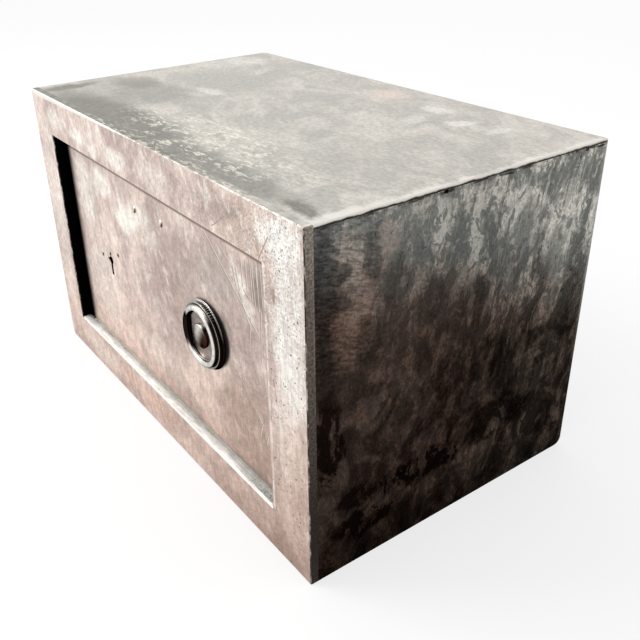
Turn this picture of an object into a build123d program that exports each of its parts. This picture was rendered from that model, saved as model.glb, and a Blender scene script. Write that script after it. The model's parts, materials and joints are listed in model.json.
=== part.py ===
from build123d import *
import math
import os

# An antique steel strongbox. Five sheet plates make the shell, four flat bars frame the front,
# and four angle bars behind them make the doorway. A thick plate door hangs on two hidden pivot
# pins at its left edge. Turning the round knob drives a pinion, its rack throws three round
# bolts to the right, and a key lock on the left blocks the rack.
# Millimetres. X runs to the right seen from the front, Y to the back, Z up. The origin is the
# middle of the underside. In the doorway, depths are counted back from the door's inner face.

# Overall size and shell
width = 400.0
depth = 240.0
height = 242.0
shell_t = 2.5
worn_radius = 6.0
edge_break = 0.6
sill_worn_r = 2.0

# Front frame and doorway
frame_t = 6.0
left_stile_w = 36.0
right_stile_w = 41.0
top_rail_w = 33.6
bottom_rail_w = 34.0
jamb_t = 5.0
jamb_root_radius = 3.0
doorway_depth = 46.0
seam_notch_w = 3.0
seam_notch_h = 2.0
seam_notch_insets = (20.0, 143.0)

# Door leaf and its pivots
recess = 7.5
door_t = 8.0
door_gap = 0.8
pivot_inset = 10.0
pivot_r = 2.5
pivot_clear = 0.05
pivot_grip = 12.0
bush_wall = 2.0
washer_t = 0.7
washer_r = 3.9
running_gap = 0.3
stop_w = 8.0
stop_t = 6.0
sweep_spare = 1.0

# Countersunk screws
screw_r = 1.6
screw_head_r = 3.2
screw_rim = 0.3
screw_slot_w = 0.8
screw_slot_h = 0.7
screw_bite = 4.5
stop_screw_bite = 3.0

# Knob and spindle
knob_inset = 86.4
rim_ring_r = 20.2
rim_r = 2.4
knob_web_t = 3.6
rim_rise = 1.0
knob_flange_r = 25.6
knob_flange_t = 0.6
knurl_r = 24.4
knurl_h = 2.6
knurl_cut = 0.6
knurl_count = 72
bead_r = 24.1
bead_t = 0.6
bead_edge = 0.1
groove_r = 22.0
groove_deep = 0.5
cap_nut_r = 9.0
cap_nut_h = 3.5
cap_collar_h = 1.3
cap_shoulder_r = 1.0
tip_l = 1.9
spindle_r = 5.0
spindle_clear = 0.05
spindle_bush_wall = 2.0
bush_flange_w = 3.0
bush_flange_t = 2.0
collar_r = 8.0
collar_t = 2.7
hub_r = 6.0
square_front = 6.0
square_back = 8.0
tip_r = 2.5
tail_r = 3.0
nut_across = 10.0
nut_t = 5.0
lock_washer_t = 1.5
lock_washer_r = 8.0
tail_spare = 0.5

# Rack and pinion
module = 2.0
pinion_teeth = 12
pressure_angle = math.radians(25)
addendum = 0.9 * module
dedendum = 1.15 * module
backlash = 0.2
knob_turn = math.pi / 2
rack_teeth_left = 5
rack_teeth_right = 2
flank_steps = 4

# Bolt carriage, bolts and guides
work_back = 14.0
work_t = 5.0
arm_h = 13.0
arm_past_key = 20.6
bar_w = 16.0
bar_gap = 3.65
bar_spare = 10.0
bolt_r = 6.0
bolt_clear = 0.08
bolt_tip_chamfer = 1.2
pocket_clear = 0.4
guide_face_gap = 3.5
guide_t = 5.0
guide_top_spare = 4.0
foot_w = 14.5
foot_t = 4.0
guide_end_gap = 5.2
guide_end_spare = 16.0
guide_screw_inset = 6.0
strap_w = 10.0
strap_past_key = 52.4
strap_before_knob = 49.6
strap_wall = 4.5
strap_clear = 0.1
strap_foot = 8.5

# Keyhole and key lock
key_inset = 76.6
key_drop = 2.8
key_r = 3.5
key_slot_w = 3.6
key_wear_w = 7.4
key_wear_h = 5.6
key_bit_r = 13.2
keyhole_spare = 0.4
case_wall = 2.5
case_floor = 2.0
case_deep = 20.0
case_left = 30.6
case_right = 27.4
case_drop = 40.4
case_gap = 0.5
case_ear = 12.0
ear_screw_inset = 6.0
lock_bolt_w = 12.0
lock_bolt_t = 4.0
lock_bolt_gap = 8.0
lock_throw = 7.0
lock_clear = 0.3
notch_spare = 0.5
talon_h = 11.0
talon_d = 5.0
talon_r = 2.0
stump_r = 2.5
stump_clear = 0.05
stump_seat_r = 4.0
stump_drop = 18.4
ward_r = 7.5
ward_t = 1.0
ward_h = 6.0
pilot_r = 2.5
post_r = 3.5
post_sunk = 1.0
spring_t = 0.8
spring_h = 34.0
spring_gap = 0.1

# Marks of fittings that are gone: three pin holes over the keyhole and two plate rivets
pin_hole_r = 1.0
pin_hole_deep = 3.0
pin_hole_offsets = ((-17.2, -0.5), (-0.5, 5.4), (16.0, 9.9))
rivet_r = 1.5
rivet_head_r = 2.8
rivet_head_h = 1.2
plate_rivet_xs = (-26.3, 17.6)
plate_rivet_drops = (26.1, 23.3)

# Places that follow from the sizes
front = -depth / 2
frame_back = front + frame_t
shell_back = depth / 2
open_left = -width / 2 + left_stile_w
open_right = width / 2 - right_stile_w
open_bottom = bottom_rail_w
open_top = height - top_rail_w
inner_x = width / 2 - shell_t
inner_top = height - shell_t
doorway_back = frame_back + doorway_depth
door_front = front + recess
door_back = door_front + door_t
pivot_y = door_front + door_t / 2
hinge_gap = math.hypot(pivot_inset, door_t / 2) - pivot_inset + running_gap
door_left = open_left + hinge_gap
door_right = open_right - door_gap
door_bottom = open_bottom + washer_t + running_gap
door_top = open_top - door_gap
pivot_x = door_left + pivot_inset
stop_front = door_back + running_gap
stop_start = pivot_x + math.hypot(pivot_inset, door_t / 2) + sweep_spare
stop_end = open_right - stop_w
stop_screw_l = stop_w + stop_screw_bite

knob_x = open_right - knob_inset
knob_z = (open_bottom + open_top) / 2
knob_back = door_front - running_gap
knob_front_web = knob_back - knob_web_t
pitch_r = module * pinion_teeth / 2
rack_line = knob_z + pitch_r
arm_low = rack_line + dedendum
arm_high = arm_low + arm_h
throw = pitch_r * knob_turn
work_front = door_back + work_back
work_rear = work_front + work_t
bolt_y = work_front
guide_face = stop_end - guide_face_gap
guide_rear = bolt_y + bolt_r + guide_top_spare
guide_z = (open_bottom + stop_w + guide_end_gap, open_top - stop_w - guide_end_gap)
bolt_zs = (guide_z[0] + guide_end_spare, knob_z, guide_z[1] - guide_end_spare)
bar_right = guide_face - guide_t - bar_gap - throw
bar_x = (bar_right - bar_w, bar_right)
guide_screw_l = foot_t + screw_bite
bolt_screw_l = work_t + screw_bite

key_x = open_left + key_inset
key_z = knob_z - key_drop
arm_left = key_x - arm_past_key
strap_xs = (key_x + strap_past_key, knob_x - strap_before_knob)
pin_holes = [(key_x + x, key_z + z) for x, z in pin_hole_offsets]
plate_rivet_spots = [(x, door_top - drop) for x, drop in zip(plate_rivet_xs, plate_rivet_drops)]
case_x = (key_x - case_left, key_x + case_right)
case_z = (key_z - case_drop, arm_low - case_gap)
case_rear = door_back + case_deep
lock_bolt_x = (key_x + lock_bolt_gap, key_x + lock_bolt_gap + lock_bolt_w)
lock_bolt_mid = (lock_bolt_x[0] + lock_bolt_x[1]) / 2
lock_bolt_front = work_front + (work_t - lock_bolt_t) / 2
lock_bolt_rear = lock_bolt_front + lock_bolt_t
lock_bolt_top = arm_low - lock_clear
stump_z = key_z - stump_drop
lock_bolt_low = stump_z - lock_throw - 2 * stump_r - lock_clear
case_screw_l = case_floor + screw_bite
cap_screw_l = case_floor + case_deep


def block(x, y, z):
    """A box from its low and high place on each axis."""
    size = [high - low for low, high in (x, y, z)]
    middle = [(low + high) / 2 for low, high in (x, y, z)]
    return Pos(*middle) * Box(*size)


def rod_x(x, y, z, radius):
    return Pos((x[0] + x[1]) / 2, y, z) * Rot(0, 90, 0) * Cylinder(radius, x[1] - x[0])


def rod_y(x, y, z, radius):
    return Pos(x, (y[0] + y[1]) / 2, z) * Rot(90, 0, 0) * Cylinder(radius, y[1] - y[0])


def rod_z(x, y, z, radius):
    return Pos(x, y, (z[0] + z[1]) / 2) * Cylinder(radius, z[1] - z[0])


def turned(points):
    """A solid of revolution about Y from (radius, y) points, its axis at x = z = 0."""
    profile = make_face(Polyline(*[(radius, y, 0) for radius, y in points], close=True))
    return revolve(profile, Axis.Y)


def plate_outline(points, y):
    """A flat plate from (x, z) points, between its two depths."""
    face = make_face(Polyline(*[(px, y[0], pz) for px, pz in points], close=True))
    return extrude(face, amount=y[1] - y[0], dir=(0, 1, 0))


def screw_body(length):
    """A countersunk screw without its slot, its head's flat at z = 0 and its point below."""
    cone_end = screw_rim + screw_head_r - screw_r
    profile = Polyline(
        (0, 0, 0),
        (screw_head_r, 0, 0),
        (screw_head_r, 0, -screw_rim),
        (screw_r, 0, -cone_end),
        (screw_r, 0, -length),
        (0, 0, -length),
        close=True,
    )
    return revolve(make_face(profile), Axis.Z)


def screw(length):
    slot = Pos(0, 0, -screw_slot_h / 2) * Box(3 * screw_head_r, screw_slot_w, screw_slot_h)
    return screw_body(length) - slot


def screws_at(spots, length):
    """The screws of one group, as separate solids."""
    return [spot * screw(length) for spot in spots]


def drilled(solid, spots, length):
    """The solid with the screws' holes in it."""
    for spot in spots:
        solid = solid - spot * screw_body(length)
    return solid


def facing_back(x, y, z):
    """A place whose screw head faces the inside of the safe."""
    return Pos(x, y, z) * Rot(-90, 0, 0)


# Shell and front frame


def envelope():
    """The whole box, with the three edges that wear has rounded."""
    body = block((-width / 2, width / 2), (front, shell_back), (0, height))
    left = body.edges().filter_by_position(Axis.X, -width / 2, -width / 2)
    rear = body.edges().filter_by_position(Axis.Y, shell_back, shell_back)
    worn = [
        *left.filter_by_position(Axis.Y, shell_back, shell_back),
        *left.filter_by_position(Axis.Z, 0, 0),
        *rear.filter_by_position(Axis.Z, 0, 0),
    ]
    body = fillet(worn, worn_radius)
    face_edges = body.faces().sort_by(Axis.Y)[0].edges()
    crown_edges = body.faces().sort_by(Axis.Z)[-1].edges()
    return chamfer(face_edges + crown_edges, edge_break)


def shell_plates(outside):
    sides_z = (shell_t, inner_top)
    plates = {
        "top_plate": block((-width / 2, width / 2), (frame_back, shell_back), (inner_top, height)),
        "bottom_plate": block((-width / 2, width / 2), (frame_back, shell_back), (0, shell_t)),
        "left_side_plate": block((-width / 2, -inner_x), (frame_back, shell_back), sides_z),
        "right_side_plate": block((inner_x, width / 2), (frame_back, shell_back), sides_z),
        "back_plate": block((-inner_x, inner_x), (shell_back - shell_t, shell_back), sides_z),
    }
    for inset in seam_notch_insets:
        middle = shell_back - inset
        notch_y = (middle - seam_notch_w / 2, middle + seam_notch_w / 2)
        notch = block((inner_x - 1, width / 2 + 1), notch_y, (inner_top - seam_notch_h, inner_top + 1))
        plates["right_side_plate"] = plates["right_side_plate"] - notch
    return {name: plate & outside for name, plate in plates.items()}


def front_frame(outside):
    """Two full-height stiles and two rails between them, with the opening's arris broken.

    What goes in and out has worn the bottom rail's arris round."""
    slab = block((-width / 2, width / 2), (front, frame_back), (0, height)) & outside
    opening = block((open_left, open_right), (front - 1, frame_back + 1), (open_bottom, open_top))
    ring = slab - opening
    y = (front - 1, frame_back + 1)
    low = ring & block((open_left, open_right), y, (-1, open_bottom))
    low = fillet(low.faces().sort_by(Axis.Y)[0].edges().sort_by(Axis.Z)[-1], sill_worn_r)
    rim = ring.faces().sort_by(Axis.Y)[0].inner_wires().edges()
    ring = chamfer(rim, edge_break)
    return {
        "frame_left_stile": ring & block((-width, open_left), y, (-1, height + 1)),
        "frame_right_stile": ring & block((open_right, width), y, (-1, height + 1)),
        "frame_top_rail": ring & block((open_left, open_right), y, (open_top, height + 1)),
        "frame_bottom_rail": low,
    }


# Doorway behind the frame


def angle_bar(along, leg, back):
    """An angle bar: a wall of the doorway, and a back leg that reaches the shell.

    along is the axis of the bar, leg and back are the two boxes of its section."""
    bar = leg + back
    inner = [
        edge
        for edge in bar.edges().filter_by(along)
        if abs(edge.center().Y - (doorway_back - jamb_t)) < 0.01
        and all(abs(edge.center().X - side) > 0.01 for side in (-inner_x, inner_x))
        and all(abs(edge.center().Z - side) > 0.01 for side in (shell_t, inner_top))
    ]
    return fillet(inner, jamb_root_radius)


def jambs():
    leg_y = (frame_back, doorway_back)
    back_y = (doorway_back - jamb_t, doorway_back)
    tall = (shell_t, inner_top)
    wide = (open_left, open_right)
    hinge = angle_bar(
        Axis.Z,
        block((open_left - jamb_t, open_left), leg_y, tall),
        block((-inner_x, open_left - jamb_t), back_y, tall),
    )
    lock = angle_bar(
        Axis.Z,
        block((open_right, open_right + jamb_t), leg_y, tall),
        block((open_right + jamb_t, inner_x), back_y, tall),
    )
    head = angle_bar(
        Axis.X,
        block(wide, leg_y, (open_top, open_top + jamb_t)),
        block(wide, back_y, (open_top + jamb_t, inner_top)),
    )
    sill = angle_bar(
        Axis.X,
        block(wide, leg_y, (open_bottom - jamb_t, open_bottom)),
        block(wide, back_y, (shell_t, open_bottom - jamb_t)),
    )
    for z in bolt_zs:
        lock = lock - rod_x((open_right - 1, open_right + jamb_t + 1), bolt_y, z, bolt_r + pocket_clear)
    bush_r = pivot_r + pivot_clear + bush_wall
    head = head - rod_z(pivot_x, pivot_y, (open_top - 1, open_top + jamb_t + 1), bush_r)
    sill = sill - rod_z(pivot_x, pivot_y, (open_bottom - jamb_t - 1, open_bottom + 1), bush_r)
    side_spots, top_spots, low_spots = stop_screw_spots()
    return {
        "hinge_jamb": hinge,
        "lock_jamb": drilled(lock, side_spots, stop_screw_l),
        "head_jamb": drilled(head, top_spots, stop_screw_l),
        "sill_jamb": drilled(sill, low_spots, stop_screw_l),
    }


def stop_screw_spots():
    """Screws through the side, top and bottom stops, midway in their thickness."""
    y = stop_front + stop_t / 2
    third = (stop_end - stop_start) / 6
    xs = [stop_start + third, stop_start + 3 * third, stop_start + 5 * third]
    between = [(bolt_zs[0] + knob_z) / 2, (knob_z + bolt_zs[2]) / 2]
    side = [Pos(stop_end, y, z) * Rot(0, -90, 0) for z in between]
    top = [Pos(x, y, open_top - stop_w) * Rot(180, 0, 0) for x in xs]
    low = [Pos(x, y, open_bottom + stop_w) for x in xs]
    return side, top, low


def door_stops():
    """Square bars that the closed door's inner face meets on three sides."""
    y = (stop_front, stop_front + stop_t)
    side_spots, top_spots, low_spots = stop_screw_spots()
    side = block((stop_end, open_right), y, (open_bottom, open_top))
    top = block((stop_start, stop_end), y, (open_top - stop_w, open_top))
    low = block((stop_start, stop_end), y, (open_bottom, open_bottom + stop_w))
    return {
        "door_stop_side": drilled(side, side_spots, stop_screw_l),
        "door_stop_top": drilled(top, top_spots, stop_screw_l),
        "door_stop_bottom": drilled(low, low_spots, stop_screw_l),
        "stop_screws": screws_at(side_spots + top_spots + low_spots, stop_screw_l),
    }


def pivots():
    """Bushes in the head and sill, a washer under the leaf, and the leaf's two pins."""
    bore = pivot_r + pivot_clear
    top_z = (open_top, open_top + jamb_t)
    low_z = (open_bottom - jamb_t, open_bottom)
    washer_z = (open_bottom, open_bottom + washer_t)

    def ring(z, outer):
        return rod_z(pivot_x, pivot_y, z, outer) - rod_z(pivot_x, pivot_y, (z[0] - 1, z[1] + 1), bore)

    return {
        "upper_pivot_bush": ring(top_z, bore + bush_wall),
        "lower_pivot_bush": ring(low_z, bore + bush_wall),
        "pivot_washer": ring(washer_z, washer_r),
        "upper_pivot_pin": rod_z(pivot_x, pivot_y, (door_top - pivot_grip, top_z[1]), pivot_r),
        "lower_pivot_pin": rod_z(pivot_x, pivot_y, (low_z[0], door_bottom + pivot_grip), pivot_r),
    }


# Door leaf


def keyhole(y, spare=0.0):
    """The round hole and slot for a bit key, grown by spare on every side."""
    slot_low = key_z - key_bit_r - spare
    half = key_slot_w / 2 + spare
    slot = block((key_x - half, key_x + half), y, (slot_low, key_z))
    return rod_y(key_x, y, key_z, key_r + spare) + slot


def key_wear(y):
    """Where the keyhole's round part is worn out to the left."""
    half = key_wear_h / 2
    points = [(key_x, key_z - half), (key_x, key_z + half), (key_x - key_wear_w, key_z)]
    return plate_outline(points, y)


def door_plate():
    leaf = block((door_left, door_right), (door_front, door_back), (door_bottom, door_top))
    rim = leaf.faces().sort_by(Axis.Y)[0].edges()
    leaf = chamfer(rim, edge_break)
    through = (door_front - 1, door_back + 1)
    leaf = leaf - keyhole(through) - key_wear(through)
    leaf = leaf - rod_y(knob_x, through, knob_z, spindle_r + spindle_clear + spindle_bush_wall)
    for x, z in pin_holes:
        leaf = leaf - rod_y(x, (door_front - 1, door_front + pin_hole_deep), z, pin_hole_r)
    for x, z in plate_rivet_spots:
        leaf = leaf - rod_y(x, through, z, rivet_r)
    leaf = leaf - rod_z(pivot_x, pivot_y, (door_top - pivot_grip, door_top + 1), pivot_r)
    leaf = leaf - rod_z(pivot_x, pivot_y, (door_bottom - 1, door_bottom + pivot_grip), pivot_r)
    leaf = drilled(leaf, guide_screw_spots(), guide_screw_l)
    return drilled(leaf, case_screw_spots(), case_screw_l)


def plate_rivets():
    """Domed brass rivets that once held a plate, peened flush inside."""
    sphere_r = (rivet_head_r**2 + rivet_head_h**2) / (2 * rivet_head_h)
    rivets = []
    for x, z in plate_rivet_spots:
        ball = Pos(x, door_front - rivet_head_h + sphere_r, z) * Sphere(sphere_r)
        head = ball & rod_y(x, (door_front - rivet_head_h - 1, door_front), z, rivet_head_r)
        rivets.append(head + rod_y(x, (door_front, door_back), z, rivet_r))
    return rivets


# Knob, spindle and pinion


def knob():
    """A flat turned knob: round rim, groove, bead, knurled band and base flange round its web."""
    ring_y = knob_front_web - rim_rise
    flange_y = knob_back - knob_flange_t
    band_y = flange_y - knurl_h
    bead_y = band_y - bead_t
    root_r = knurl_r - knurl_cut
    core = turned(
        [
            (0, knob_back),
            (knob_flange_r, knob_back),
            (knob_flange_r, flange_y),
            (root_r, flange_y),
            (root_r, band_y),
            (bead_r, band_y - bead_edge),
            (bead_r, bead_y + bead_edge),
            (bead_r - 3 * bead_edge, bead_y),
            (groove_r, bead_y + groove_deep),
            (rim_ring_r, knob_front_web),
            (0, knob_front_web),
        ]
    )
    rim = Pos(0, ring_y, 0) * Rot(90, 0, 0) * Torus(rim_ring_r, rim_r)
    step = math.pi / knurl_count
    crests = []
    for index in range(2 * knurl_count):
        radius = knurl_r if index % 2 else root_r
        crests.append((radius * math.cos(index * step), radius * math.sin(index * step)))
    band = plate_outline(crests, (band_y, flange_y))
    half = square_front / 2
    hole = block((-half, half), (knob_front_web - 1, knob_back + 1), (-half, half))
    return Pos(knob_x, 0, knob_z) * (core + rim + band - hole)


def knob_cap_nut():
    """The nut in the middle of the knob: a dome on a round collar."""
    dome_h = cap_nut_h - cap_collar_h
    sphere_r = (cap_nut_r**2 + dome_h**2) / (2 * dome_h)
    dome = Pos(0, knob_front_web - cap_nut_h + sphere_r, 0) * Sphere(sphere_r)
    dome = dome & rod_y(0, (knob_front_web - cap_nut_h - 1, knob_front_web), 0, cap_nut_r)
    shoulder = dome.edges().filter_by(GeomType.CIRCLE).sort_by(Axis.Y)[0]
    dome = fillet(shoulder, cap_shoulder_r)
    thread = rod_y(0, (knob_front_web - tip_l, knob_back), 0, tip_r)
    return Pos(knob_x, 0, knob_z) * (dome - thread)


def spindle():
    """Threaded tip, front square, round journal, collar, hub, back square and threaded tail."""
    collar_y = door_back + bush_flange_t + running_gap
    tail_end = work_rear + lock_washer_t + nut_t + tail_spare
    half = square_front / 2
    shaft = rod_y(0, (knob_front_web - tip_l, knob_front_web), 0, tip_r)
    shaft = shaft + block((-half, half), (knob_front_web, knob_back), (-half, half))
    shaft = shaft + rod_y(0, (knob_back, collar_y), 0, spindle_r)
    shaft = shaft + rod_y(0, (collar_y, collar_y + collar_t), 0, collar_r)
    shaft = shaft + rod_y(0, (collar_y + collar_t, work_front), 0, hub_r)
    half = square_back / 2
    shaft = shaft + block((-half, half), (work_front, work_rear), (-half, half))
    shaft = shaft + rod_y(0, (work_rear, tail_end), 0, tail_r)
    return Pos(knob_x, 0, knob_z) * shaft


def spindle_bush():
    bore = spindle_r + spindle_clear
    body_r = bore + spindle_bush_wall
    flange_y = (door_back, door_back + bush_flange_t)
    bush = rod_y(0, (door_front, door_back), 0, body_r) + rod_y(0, flange_y, 0, body_r + bush_flange_w)
    return Pos(knob_x, 0, knob_z) * (bush - rod_y(0, (door_front - 1, flange_y[1] + 1), 0, bore))


def involute(angle):
    return math.tan(angle) - angle


def pinion():
    """A spur pinion. A tooth points straight up at rest, into a gap of the rack."""
    base_r = pitch_r * math.cos(pressure_angle)
    tip_radius = pitch_r + addendum
    root_radius = pitch_r - dedendum
    pitch_half = math.pi / (2 * pinion_teeth) - backlash / (4 * pitch_r)
    flank = [(root_radius, pitch_half + involute(pressure_angle))]
    for step in range(flank_steps + 1):
        radius = base_r + (tip_radius - base_r) * step / flank_steps
        roll = math.acos(base_r / radius)
        flank.append((radius, pitch_half + involute(pressure_angle) - involute(roll)))
    points = []
    for tooth in range(pinion_teeth):
        middle = math.pi / 2 - 2 * math.pi * tooth / pinion_teeth
        left = [(radius, middle + half) for radius, half in flank]
        right = [(radius, middle - half) for radius, half in reversed(flank)]
        points += [(radius * math.cos(turn), radius * math.sin(turn)) for radius, turn in left + right]
    half = square_back / 2
    wheel = plate_outline(points, (work_front, work_rear))
    wheel = wheel - block((-half, half), (work_front - 1, work_rear + 1), (-half, half))
    return Pos(knob_x, 0, knob_z) * wheel


def pinion_fixings():
    washer_y = (work_rear, work_rear + lock_washer_t)
    nut_y = (washer_y[1], washer_y[1] + nut_t)
    hole = rod_y(0, (work_rear - 1, nut_y[1] + 1), 0, tail_r)
    corner = nut_across / math.sqrt(3)
    sides = [(corner * math.cos(math.pi * k / 3), corner * math.sin(math.pi * k / 3)) for k in range(6)]
    place = Pos(knob_x, 0, knob_z)
    return {
        "pinion_washer": place * (rod_y(0, washer_y, 0, lock_washer_r) - hole),
        "pinion_nut": place * (plate_outline(sides, nut_y) - hole),
    }


# Bolt carriage, bolts and guides


def bolt_screw_spots():
    middle = (bar_x[0] + bar_x[1]) / 2
    return [facing_back(middle, work_rear, z) for z in bolt_zs]


def bolt_carriage():
    """A rack arm and an upright bar in one plate. The rack hangs from the arm's lower edge."""
    pitch = math.pi * module
    slope = math.tan(pressure_angle)
    half = pitch / 4 - backlash / 4
    root_half = half + dedendum * slope
    tip_half = half - addendum * slope
    tip_z = rack_line - addendum
    edge = []
    for tooth in range(-rack_teeth_left, rack_teeth_right):
        middle = knob_x + (tooth + 0.5) * pitch
        edge += [(middle - root_half, arm_low), (middle - tip_half, tip_z)]
        edge += [(middle + tip_half, tip_z), (middle + root_half, arm_low)]
    bar_low = bolt_zs[0] - bar_spare
    bar_high = bolt_zs[2] + bar_spare
    outline = [(arm_left, arm_high), (arm_left, arm_low), *edge]
    outline += [(bar_x[0], arm_low), (bar_x[0], bar_low), (bar_x[1], bar_low)]
    outline += [(bar_x[1], bar_high), (bar_x[0], bar_high), (bar_x[0], arm_high)]
    plate = plate_outline(outline, (work_front, work_rear))
    notch_top = lock_bolt_top + lock_throw + notch_spare
    half_notch = lock_bolt_w / 2 + lock_clear
    for middle in (lock_bolt_mid, lock_bolt_mid - throw):
        notch_x = (middle - half_notch, middle + half_notch)
        plate = plate - block(notch_x, (work_front - 1, work_rear + 1), (arm_low - 1, notch_top))
    return drilled(plate, bolt_screw_spots(), bolt_screw_l)


def bolt(z):
    """A round bolt. Its left end is milled half away, and the carriage's bar lies on the flat."""
    body = rod_x((bar_x[0], guide_face), bolt_y, z, bolt_r)
    tip = body.faces().sort_by(Axis.X)[-1].edges()
    body = chamfer(tip, bolt_tip_chamfer)
    flat_x = (bar_x[0] - 1, bar_x[1] + lock_clear)
    body = body - block(flat_x, (bolt_y, bolt_y + bolt_r + 1), (z - bolt_r - 1, z + bolt_r + 1))
    return drilled(body, bolt_screw_spots(), bolt_screw_l)


def guide_screw_spots():
    """Screws in the bolt guide's foot and in the feet of the two arm straps."""
    foot_x = guide_face - guide_t - foot_w / 2
    ends = (guide_z[0] + guide_screw_inset, guide_z[1] - guide_screw_inset)
    rows = (ends[0], (bolt_zs[0] + knob_z) / 2, (knob_z + bolt_zs[2]) / 2, ends[1])
    spots = [facing_back(foot_x, door_back + foot_t, z) for z in rows]
    for x in strap_xs:
        for z in (arm_low - strap_wall - strap_foot / 2, arm_high + strap_wall + strap_foot / 2):
            spots.append(facing_back(x, door_back + foot_t, z))
    return spots


def bolt_guide():
    """An angle along the door's free edge, with the bolts' three holes in its standing leg."""
    leg_x = guide_face - guide_t
    leg = block((leg_x, guide_face), (door_back, guide_rear), guide_z)
    foot = block((leg_x - foot_w, leg_x), (door_back, door_back + foot_t), guide_z)
    guide = leg + foot
    for z in bolt_zs:
        guide = guide - rod_x((leg_x - 1, guide_face + 1), bolt_y, z, bolt_r + bolt_clear)
    return drilled(guide, guide_screw_spots(), guide_screw_l)


def arm_strap(x):
    """A hat-shaped bridge screwed to the door, with a window that the rack arm slides in."""
    low = arm_low - strap_wall
    high = arm_high + strap_wall
    across = (x - strap_w / 2, x + strap_w / 2)
    hump = block(across, (door_back, work_rear + strap_wall), (low, high))
    feet = block(across, (door_back, door_back + foot_t), (low - strap_foot, high + strap_foot))
    window = block(
        (across[0] - 1, across[1] + 1),
        (work_front - strap_clear, work_rear + strap_clear),
        (arm_low - strap_clear, arm_high + strap_clear),
    )
    return drilled(hump + feet - window, guide_screw_spots(), guide_screw_l)


# Key lock


def case_screw_spots():
    xs = (case_x[0] - case_ear + ear_screw_inset, case_x[1] + case_ear - ear_screw_inset)
    zs = (case_z[0] + ear_screw_inset, case_z[1] - ear_screw_inset)
    return [facing_back(x, door_back + case_floor, z) for x in xs for z in zs]


def cap_posts():
    """Where the cap's screws go: both left corners, and the right corner under the lock bolt."""
    inset = case_wall + post_r - post_sunk
    left = case_x[0] + inset
    low = case_z[0] + inset
    return [(left, low), (left, case_z[1] - inset), (lock_bolt_mid, low)]


def cap_screw_spots():
    return [facing_back(x, case_rear + case_floor, z) for x, z in cap_posts()]


def lock_floor():
    """The case's floor against the door, with an ear at each side for its screws."""
    y = (door_back, door_back + case_floor)
    through = (y[0] - 1, y[1] + 1)
    floor = block((case_x[0] - case_ear, case_x[1] + case_ear), y, case_z)
    floor = floor - keyhole(through, spare=keyhole_spare)
    floor = floor - rod_y(lock_bolt_mid, through, stump_z, stump_r)
    floor = drilled(floor, case_screw_spots(), case_screw_l)
    return drilled(floor, cap_screw_spots(), cap_screw_l)


def lock_rim():
    """The case's four walls and its posts, with a slot for the bolt's head."""
    y = (door_back + case_floor, case_rear)
    through = (y[0] - 1, y[1] + 1)
    room = block(
        (case_x[0] + case_wall, case_x[1] - case_wall),
        through,
        (case_z[0] + case_wall, case_z[1] - case_wall),
    )
    rim = block(case_x, y, case_z) - room
    for x, z in cap_posts():
        rim = rim + rod_y(x, y, z, post_r)
    slot = block(
        (lock_bolt_x[0] - lock_clear, lock_bolt_x[1] + lock_clear),
        (lock_bolt_front - lock_clear / 2, lock_bolt_rear + lock_clear / 2),
        (case_z[1] - case_wall - 1, case_z[1] + 1),
    )
    return drilled(rim - slot, cap_screw_spots(), cap_screw_l)


def lock_cap():
    """The case's cover, with the pilot hole for the key's point."""
    y = (case_rear, case_rear + case_floor)
    cap = block(case_x, y, case_z)
    cap = cap - rod_y(key_x, (y[0] - 1, y[1] + 1), key_z, pilot_r)
    return drilled(cap, cap_screw_spots(), cap_screw_l)


def lock_stump():
    """The stepped pin that the lock bolt slides on, riveted in the case's floor."""
    floor_y = door_back + case_floor
    shoulder = lock_bolt_front - lock_clear
    pin = rod_y(lock_bolt_mid, (door_back, case_rear), stump_z, stump_r)
    return pin + rod_y(lock_bolt_mid, (floor_y, shoulder), stump_z, stump_seat_r)


def lock_ward():
    """The ring on the cap that only a key with the right cut can pass."""
    y = (case_rear - ward_h, case_rear)
    return rod_y(key_x, y, key_z, ward_r) - rod_y(key_x, (y[0] - 1, y[1] + 1), key_z, ward_r - ward_t)


def lock_bolt():
    """Withdrawn, with its talon beside the key's path and its stump slot below."""
    thick = (lock_bolt_front, lock_bolt_rear)
    through = (thick[0] - 1, thick[1] + 1)
    body = block(lock_bolt_x, thick, (lock_bolt_low, lock_bolt_top))
    talon_z = key_z - lock_throw / 2
    talon_x = (lock_bolt_x[0] - 1, lock_bolt_x[0] + talon_d)
    talon = block(talon_x, through, (talon_z - talon_h / 2, talon_z + talon_h / 2))
    corners = talon.edges().filter_by(Axis.Y).group_by(Axis.X)[-1]
    body = body - fillet(corners, talon_r)
    slot_r = stump_r + stump_clear
    slot = block(
        (lock_bolt_mid - slot_r, lock_bolt_mid + slot_r), through, (stump_z - lock_throw, stump_z)
    )
    slot = slot + rod_y(lock_bolt_mid, through, stump_z, slot_r)
    slot = slot + rod_y(lock_bolt_mid, through, stump_z - lock_throw, slot_r)
    return body - slot


def lock_spring():
    """A bowed leaf between the case's wall and the lock bolt, which rubs on the bolt's edge."""
    wall = case_x[1] - case_wall
    crest = lock_bolt_x[1] + spring_gap
    middle = key_z - lock_throw / 2
    y = lock_bolt_front
    foot = 2 * spring_t
    outer_z = (middle - spring_h / 2, middle + spring_h / 2)
    inner_z = (outer_z[0] + foot, outer_z[1] - foot)
    inner_crest = (crest + spring_t, y, middle)
    outline = [
        ThreePointArc((wall, y, outer_z[0]), (crest, y, middle), (wall, y, outer_z[1])),
        Line((wall, y, outer_z[1]), (wall, y, inner_z[1])),
        ThreePointArc((wall, y, inner_z[1]), inner_crest, (wall, y, inner_z[0])),
        Line((wall, y, inner_z[0]), (wall, y, outer_z[0])),
    ]
    return extrude(make_face(outline), amount=lock_bolt_t, dir=(0, 1, 0))


# All the pieces


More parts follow.
